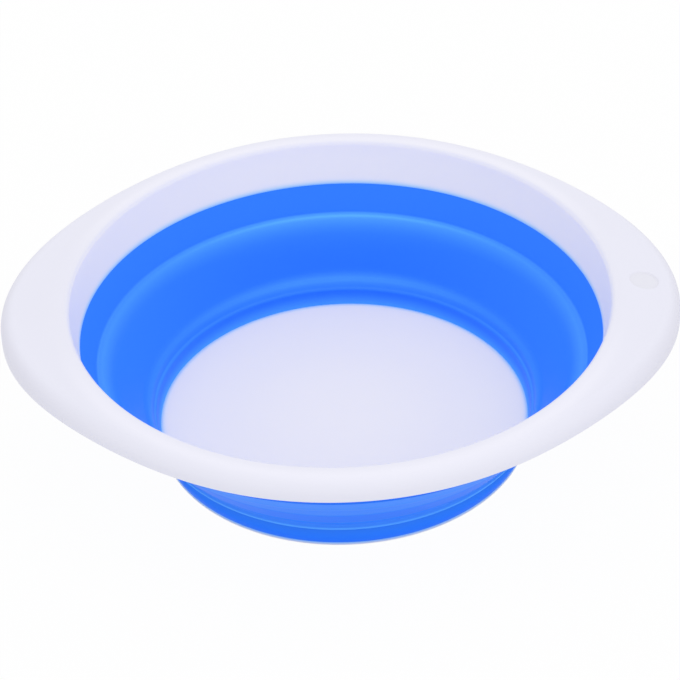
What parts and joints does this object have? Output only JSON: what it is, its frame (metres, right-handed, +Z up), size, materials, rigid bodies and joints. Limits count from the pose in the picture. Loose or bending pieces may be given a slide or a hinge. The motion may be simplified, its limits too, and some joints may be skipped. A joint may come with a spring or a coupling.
{
  "type": "collapsible wash basin",
  "caption": "Round collapsible wash basin with a rounded rim, two ear handles and a folding rubber wall on a flat round base.",
  "frame": {"origin": "middle of the foot's underside, on the surface the basin stands on", "axes": "+X from the middle towards the ear with the dent, +Y across the plain sides, +Z up along the basin's axis and the joint's axis"},
  "size_m": [0.3524, 0.314, 0.089],
  "materials": {
    "white_plastic": "satin",
    "blue_rubber": "satin, slightly translucent"
  },
  "bodies": {
    "base": {"base_plate": "white_plastic", "wall_lower_band": "blue_rubber", "wall_folding_band": "blue_rubber"},
    "rim": {"rim_frame": "white_plastic", "wall_upper_band": "blue_rubber"}
  },
  "joints": [
    {"name": "collapse", "type": "slide", "parent": "base", "child": "rim", "axis": [0, 0, 1], "range_m": [-0.045, 0], "deforming": ["wall_folding_band"]}
  ]
}
